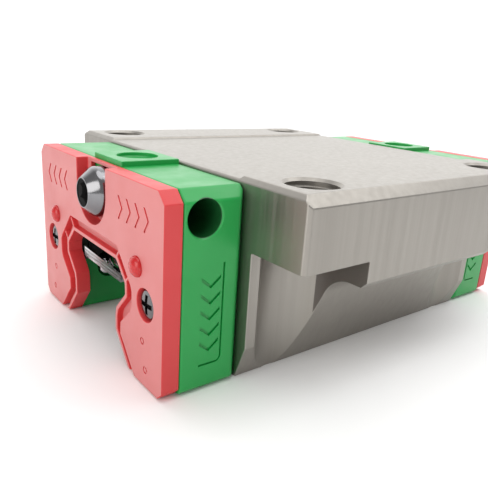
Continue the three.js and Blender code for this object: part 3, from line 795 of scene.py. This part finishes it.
def make_end_cap():
    front, back = CAP_LOW.x, CAP_HIGH.x
    channel = [(CHANNEL_HALF_WIDTH, CAP_LOW.z), (CHANNEL_HALF_WIDTH, CHANNEL_CEILING), (0, CHANNEL_CEILING)]
    cap = along_x(both_halves([(0, CAP_TOP), *end_outline(channel)]), front, back)
    rear_chamfer = 1.0
    for side in SIDES.values():
        corner = [
            (back + PAST, side * (CAP_HIGH.y - rear_chamfer - PAST)),
            (back + PAST, side * (CAP_HIGH.y + PAST)),
            (back - rear_chamfer - PAST, side * (CAP_HIGH.y + PAST)),
        ]
        cut(cap, along_z(corner, -PAST, CAP_HIGH.z + PAST))
    soften(cap, 0.3, 3)
    boss = brick((front, -BOSS_HALF_WIDTH, CAP_TOP - PAST), (back, BOSS_HALF_WIDTH, CAP_HIGH.z))
    soften(boss, 0.2, 2)
    join(cap, boss)
    floor = CAP_HIGH.z - DIMPLE_DEPTH
    dimple = [
        (floor, 0),
        (floor, DIMPLE_RADIUS - 0.2),
        (floor + 0.2, DIMPLE_RADIUS),
        (CAP_HIGH.z - 0.1, DIMPLE_RADIUS),
        (CAP_HIGH.z + 0.1, DIMPLE_RADIUS + 0.2),
    ]
    cut(cap, turned(dimple, (0, 0, 1), (DIMPLE_X, 0, 0), 96))
    cut(cap, rod(PLUG_HOLE_RADIUS, front - PAST, PLUG_HOLE_FLOOR, (1, 0, 0), (0, 0, PLUG_Z), 48))
    for side in SIDES.values():
        wall = CAP_HIGH.y
        port = [
            (PORT_FLOOR_Y, 0),
            (PORT_FLOOR_Y, PORT_RADIUS),
            (wall - 0.25, PORT_RADIUS),
            (wall + 0.15, PORT_RADIUS + 0.4),
        ]
        cut(cap, turned(port, (0, side, 0), (PORT_X, 0, PORT_Z), 64))
        y0, y1 = span(side * (CHANNEL_HALF_WIDTH - PAST), side * GUIDE_POCKET_Y)
        cut(cap, along_y(guide_outline(GUIDE_CLEARANCE), y0, y1))
        cut(cap, turn_tube("upper", side))
        cut(cap, turn_tube("lower", side))
        cut(cap, rod(SCREW_CLEARANCE, front - PAST, back + PAST, (1, 0, 0), (0, side * SCREW_Y, SCREW_Z), 32))
        y0, y1 = span(side * (CHANNEL_HALF_WIDTH - PAST), side * LAND_Y)
        slot_low = (STRIP_SLOT["front"], y0, STRIP_SLOT["bottom"])
        cut(cap, brick(slot_low, (back + PAST, y1, STRIP_SLOT["top"])))
        engrave_panel(cap, side)
    for name, turn in END_TURNS.items():
        piece = copied(cap, turn)
        finish_piece(piece, f"cap_{name}", "carriage", CAP_GREEN, (f"end_cap_{name}",))
    drop(cap)


def engrave_panel(cap, side):
    """A plain engraved frame and a column of arrow heads on the side of the cap."""
    wall = side * CAP_HIGH.y
    depth = 0.3
    y0, y1 = span(wall + side * PAST, wall - side * depth)
    groove = 0.32
    right, foot, top, left, corner = -32.2, 4.0, 19.2, -36.0, 1.0
    bend = (right - corner, foot + corner)
    outer = [(right, top), *arc(*bend, corner, 0, -90, 6), (left, foot)]
    inner = [(left, foot + groove), *arc(*bend, corner - groove, -90, 0, 6), (right - groove, top)]
    cut(cap, along_y(outer + inner, y0, y1))
    first_z, spacing, column_x = 16.6, 2.4, -34.4
    half_width, half_height = 1.6, 1.3
    for i in range(5):

        def point(u, v, y, z=first_z - i * spacing):
            return (column_x + half_width * v, y, z - half_height * u)

        cut(cap, chevron(point, y0, y1))


SEAL_OPENING = [(14.8, 0.2), (12.9, 2.3), (11.6, 3.8), (10.2, 5.2), (10.3, 7.2), (13.6, 10.3), (14.0, 11.2),
                (14.0, 13.5), (13.6, 14.3), (9.2, 19.0), (0, 19.0)]
LIP_OUTER = [(13.0, 0.2), (10.5, 3.1), (8.6, 5.2), (8.6, 7.4), (8.9, 8.5), (12.0, 11.7), (11.9, 14.0),
             (8.7, 17.2), (0, 17.2)]
LIP_INNER = [(12.2, 0.2), (9.9, 2.7), (7.9, 5.0), (7.9, 7.5), (8.2, 8.8), (11.3, 12.0), (11.2, 13.7),
             (8.4, 16.5), (0, 16.5)]
LIP_RIBS = [
    [(12.6, 15.5), (11.2, 14.1), (11.5, 13.8), (12.9, 15.2)],
    [(9.6, 18.7), (8.4, 17.3), (8.75, 17.0), (9.95, 18.4)],
]
SEAL_THICKNESS = 2.8
BAND_DEPTH = 1.3
LIP_DEPTH = 0.3
NOTCH_HALF_WIDTH, NOTCH_CENTRE_Z, NOTCH_WALL = 5.5, 25.4, 0.8
WINDOW_HALF_WIDTH, WINDOW_TOP = 4.4, 29.0
RECESS_RADIUS, RECESS_WALL = 2.4, 1.0
BUMP_Y, BUMP_Z, BUMP_RADIUS = 15.7, 17.8, 1.55


def arch(half_width, top, shoulder, centre_z):
    """A (y, z) outline with upright sides down to a shoulder, and a round foot."""
    foot = arc(0, centre_z, half_width, 0, -180, 40)[1:-1]
    return [(half_width, top), (half_width, shoulder), *foot, (-half_width, shoulder), (-half_width, top)]


def make_end_seal():
    back = SEAL_HIGH.x
    front = back - SEAL_THICKNESS
    band = front + BAND_DEPTH
    lip = front + LIP_DEPTH
    foot = 1.2
    overlap = 0.1
    seal = along_x(both_halves([(0, CAP_TOP), *end_outline(LIP_INNER, foot)]), band, back)
    face = along_x(both_halves([(0, CAP_TOP), *end_outline(SEAL_OPENING, foot)]), front, band + overlap)
    ring = along_x(both_halves(LIP_OUTER[::-1] + LIP_INNER), lip, band + overlap)
    notch = arch(NOTCH_HALF_WIDTH, CAP_TOP + PAST, NOTCH_CENTRE_Z, NOTCH_CENTRE_Z)
    cut(face, along_x(notch, front - PAST, back + PAST))
    ribs = [
        along_x([(side * y, z) for y, z in outline], lip, band + overlap)
        for side in SIDES.values()
        for outline in LIP_RIBS
    ]
    join(seal, face, ring, *ribs)
    cut(seal, along_x(notch, front - PAST, back - NOTCH_WALL))
    window = arch(WINDOW_HALF_WIDTH, WINDOW_TOP, NOTCH_CENTRE_Z, PLUG_Z)
    cut(seal, along_x(window, front - PAST, back + PAST))
    for side in SIDES.values():
        recess = [(front - PAST, RECESS_RADIUS), (back - RECESS_WALL, RECESS_RADIUS)]
        cut(seal, turned(recess, (1, 0, 0), (0, side * SCREW_Y, SCREW_Z), 64))
    soften(seal, 0.16, 3)
    for side in SIDES.values():
        hole = rod(SCREW_CLEARANCE, front - PAST, back + PAST, (1, 0, 0), (0, side * SCREW_Y, SCREW_Z), 32)
        cut(seal, hole)
        mould_marks(seal, side, front)
    buttons = seal_buttons(front)
    for name, turn in END_TURNS.items():
        node = f"end_seal_{name}"
        finish_piece(copied(seal, turn), f"seal_{name}", "carriage", SEAL_RED, (node,))
        twin = copied(buttons, turn)
        finish_piece(twin, f"seal_buttons_{name}", "carriage", BUTTON_RED, (node,))
    drop(seal, buttons)


def seal_buttons(front):
    """The two glossy domes on the face of the seal."""
    tip = SEAL_LOW.x
    height = front - tip
    steps = 8
    dome = [(tip, 0)]
    for i in range(1, steps + 1):
        turn = math.pi / 2 * i / steps
        dome.append((front - height * math.cos(turn), BUMP_RADIUS * math.sin(turn)))
    dome.append((front + 0.3, BUMP_RADIUS))
    return merged([turned(dome, (1, 0, 0), (0, side * BUMP_Y, BUMP_Z), 48) for side in SIDES.values()])


def mould_marks(seal, side, front):
    """Plain arrow heads and two small ejector rings on the face of the seal."""
    depth = 0.16
    first_y, spacing, row_z = 10.6, 2.6, 24.9
    half_width, half_height = 1.15, 1.7
    for i in range(4):

        def point(u, v, x, y=side * (first_y + i * spacing)):
            return (x, y + side * half_width * u, row_z + half_height * v)

        cut(seal, chevron(point, front - PAST, front + depth))
    ring_radius, ring_core = 0.55, 0.35
    for y, z in ((17.4, 7.2), (18.3, 3.0)):
        outer = rod(ring_radius, front - PAST, front + depth, (1, 0, 0), (0, side * y, z), 24)
        cut(outer, rod(ring_core, front - 2 * PAST, front + PAST, (1, 0, 0), (0, side * y, z), 24))
        cut(seal, outer)


def make_grease_plug():
    front, collar = PLUG_LOW.x, SEAL_HIGH.x
    shoulder = front + 1.9
    radius = PLUG_HIGH.z - PLUG_Z
    rim, shank = 2.38, 2.9
    profile = [
        (front, rim),
        (front + 0.12, rim + 0.1),
        (shoulder - 0.5, radius - 0.3),
        (shoulder, radius - 0.04),
        (shoulder + 0.3, radius),
        (collar - 0.15, radius),
        (collar, radius - 0.15),
        (collar, shank),
        (PLUG_HIGH.x, shank),
    ]
    plug = turned(profile, (1, 0, 0), (0, 0, PLUG_Z), 96)
    socket = [
        (front - PAST, SOCKET_RADIUS),
        (front + 0.25, SOCKET_RADIUS),
        (front + 0.3, SOCKET_RADIUS - 0.1),
        (front + 0.7, SOCKET_RADIUS - 0.3),
    ]
    cut(plug, turned(socket, (1, 0, 0), (0, 0, PLUG_Z), 64))
    cut(plug, rod(SOCKET_RADIUS - 0.1, front - PAST, front + 2.2, (1, 0, 0), (0, 0, PLUG_Z), 6))
    for name, turn in END_TURNS.items():
        piece = copied(plug, turn)
        node = f"grease_plug_{name}"
        finish_piece(piece, f"plug_{name}", "carriage", PLUG_STEEL, (node,), 25)
    drop(plug)


def make_seal_screws():
    front = SCREW_LOW.x
    radius = SCREW_HIGH.z - SCREW_Z
    head, shank = 1.5, 1.3
    dome = [(0, 0), (0.02, 0.8), (0.1, 1.5), (0.22, 1.95), (0.5, radius), (head, radius), (head, shank)]
    profile = [*((front + depth, reach) for depth, reach in dome), (SCREW_HIGH.x, shank)]
    screw = turned(profile, (1, 0, 0), (0, SCREW_Y, SCREW_Z), 64)
    slot_reach, slot_half_width, slot_depth = 1.45, 0.36, 0.9
    for long, wide in ((slot_reach, slot_half_width), (slot_half_width, slot_reach)):
        low = (front - PAST, SCREW_Y - long, SCREW_Z - wide)
        cut(screw, brick(low, (front + slot_depth, SCREW_Y + long, SCREW_Z + wide)))
    to_other_side = Matrix.Translation((0, -2 * SCREW_Y, 0))
    for end, turn in END_TURNS.items():
        for shift, first in ((AS_DRAWN, True), (to_other_side, False)):
            side = "left" if first == (end == "front") else "right"
            piece = copied(screw, turn @ shift)
            node = f"seal_screw_{end}_{side}"
            finish_piece(piece, f"screw_{end}_{side}", "carriage", SCREW_STEEL, (node,))
    drop(screw)


def make_return_guides():
    low, high = box_mm("return_guide_front_left")
    guide = along_y(guide_outline(0), low.y, high.y)
    cut(guide, turn_tube("upper", 1), turn_tube("lower", 1))
    slot_low = (STRIP_SLOT["front"], low.y - PAST, STRIP_SLOT["bottom"])
    cut(guide, brick(slot_low, (STRIP_SLOT["back"], LAND_Y, STRIP_SLOT["top"])))
    for end, turn in END_TURNS.items():
        for flip, first in ((AS_DRAWN, True), (SIDE_FLIPS["right"], False)):
            side = "left" if first == (end == "front") else "right"
            piece = copied(guide, turn @ flip)
            node = f"return_guide_{end}_{side}"
            finish_piece(piece, f"guide_{end}_{side}", "carriage", GUIDE_SHADE_BLACK, (node,))
    drop(guide)


# ---- retainers and bottom seals ------------------------------------------------------------


def strip(stations, thickness, width):
    """A strip through (x, y, z) stations, wide in Z and thin in Y, with two pressed grooves."""
    depth, floor_half, edge_half = 0.12, 0.05, 0.16
    face = [(0.0, -width / 2)]
    for middle in (-width / 6, width / 6):
        face += [
            (0.0, middle - edge_half),
            (depth, middle - floor_half),
            (depth, middle + floor_half),
            (0.0, middle + edge_half),
        ]
    face.append((0.0, width / 2))
    section = face + [(thickness, z) for _, z in reversed(face)]
    bm = bmesh.new()
    rings = [[bm.verts.new((x, y + dy, z + dz)) for dy, dz in section] for x, y, z in stations]
    for low, high in zip(rings, rings[1:]):
        for i in range(len(section)):
            j = (i + 1) % len(section)
            bm.faces.new((low[i], low[j], high[j], high[i]))
    bm.faces.new(rings[0])
    bm.faces.new(rings[-1])
    return new_object("strip", bm)


def make_retainers():
    low, high = box_mm("top_retainer")
    top = brick(low, high)
    soften(top, 0.12, 2)
    finish_piece(top, "retainer_top", "carriage", RETAINER_STEEL, ("top_retainer",))
    low, high = box_mm("side_retainer_left")
    middle_z = (low.z + high.z) / 2
    side_strip = strip([(low.x, low.y, middle_z), (high.x, low.y, middle_z)], high.y - low.y, high.z - low.z)
    low, high = box_mm("lower_retainer_left")
    width, thickness, straight = 1.8, 0.5, 33.0
    tab = (high.x, high.y - thickness, high.z - width / 2)
    bend = (straight, low.y, low.z + width / 2)
    stations = [(-tab[0], *tab[1:]), (-bend[0], *bend[1:]), bend, tab]
    lower_strip = strip(stations, thickness, width)
    for made, kind in ((side_strip, "side"), (lower_strip, "lower")):
        for side, flip in SIDE_FLIPS.items():
            piece = copied(made, flip)
            name = f"retainer_{kind}_{side}"
            node = f"{kind}_retainer_{side}"
            finish_piece(piece, name, "carriage", RETAINER_STEEL, (node,))
        drop(made)


def make_bottom_seals():
    low, high = box_mm("bottom_seal_left")
    outline = [
        (low.y, low.z),
        (low.y + 0.1, low.z + 0.12),
        (low.y + 1.0, high.z),
        (high.y, high.z),
        (high.y, low.z),
    ]
    seal = along_x(outline, low.x, high.x)
    for side, flip in SIDE_FLIPS.items():
        piece = copied(seal, flip)
        node = f"bottom_seal_{side}"
        finish_piece(piece, f"leg_seal_{side}", "carriage", SEAL_RUBBER, (node,))
    drop(seal)


# ---- balls ---------------------------------------------------------------------------------

BALLS_PER_ROW = 12
BALLS_PER_TURN = 3
TURN_BALL_STEP = math.radians(62.2)


def ball(place):
    bm = bmesh.new()
    bmesh.ops.create_uvsphere(bm, u_segments=20, v_segments=14, radius=BALL_RADIUS)
    bmesh.ops.translate(bm, vec=place, verts=bm.verts)
    return new_object("ball", bm)


def make_rows():
    for side in SIDES:
        for level in ("upper", "lower"):
            for kind in ("load", "return"):
                node = f"{kind}_row_{level}_{side}"
                low, high = box_mm(node)
                middle = (low + high) / 2
                pitch = (high.x - low.x - 2 * BALL_RADIUS) / (BALLS_PER_ROW - 1)
                first = low.x + BALL_RADIUS
                balls = [ball((first + i * pitch, middle.y, middle.z)) for i in range(BALLS_PER_ROW)]
                name = f"balls_{kind}_{level}_{side}"
                finish_piece(merged(balls), name, node, BALL_STEEL, (node,), 180)


def make_turns():
    joints = {joint["child"]: joint for joint in frame["joints"]}
    for side, sign in SIDES.items():
        for level in ("upper", "lower"):
            load = Vector((0, sign * LOAD_LINES[level][0], LOAD_LINES[level][1]))
            for end, outward in ENDS.items():
                node = f"turn_{end}_{level}_{side}"
                centre = Vector(joints[node]["pos_m"]) / MM
                inward = load - Vector((0, centre.y, centre.z))
                radius = inward.length
                inward.normalize()
                balls = []
                for i in range(BALLS_PER_TURN):
                    angle = math.pi / 2 + (i - 1) * TURN_BALL_STEP
                    reach = Vector((outward, 0, 0)) * math.sin(angle) + inward * math.cos(angle)
                    balls.append(ball(centre + reach * radius))
                name = f"balls_{end}_{level}_{side}"
                finish_piece(merged(balls), name, node, BALL_STEEL, (node,), 180)


make_camera()
make_studio()
make_floor()
make_block()
make_end_cap()
make_end_seal()
make_grease_plug()
make_seal_screws()
make_return_guides()
make_retainers()
make_bottom_seals()
make_rows()
make_turns()
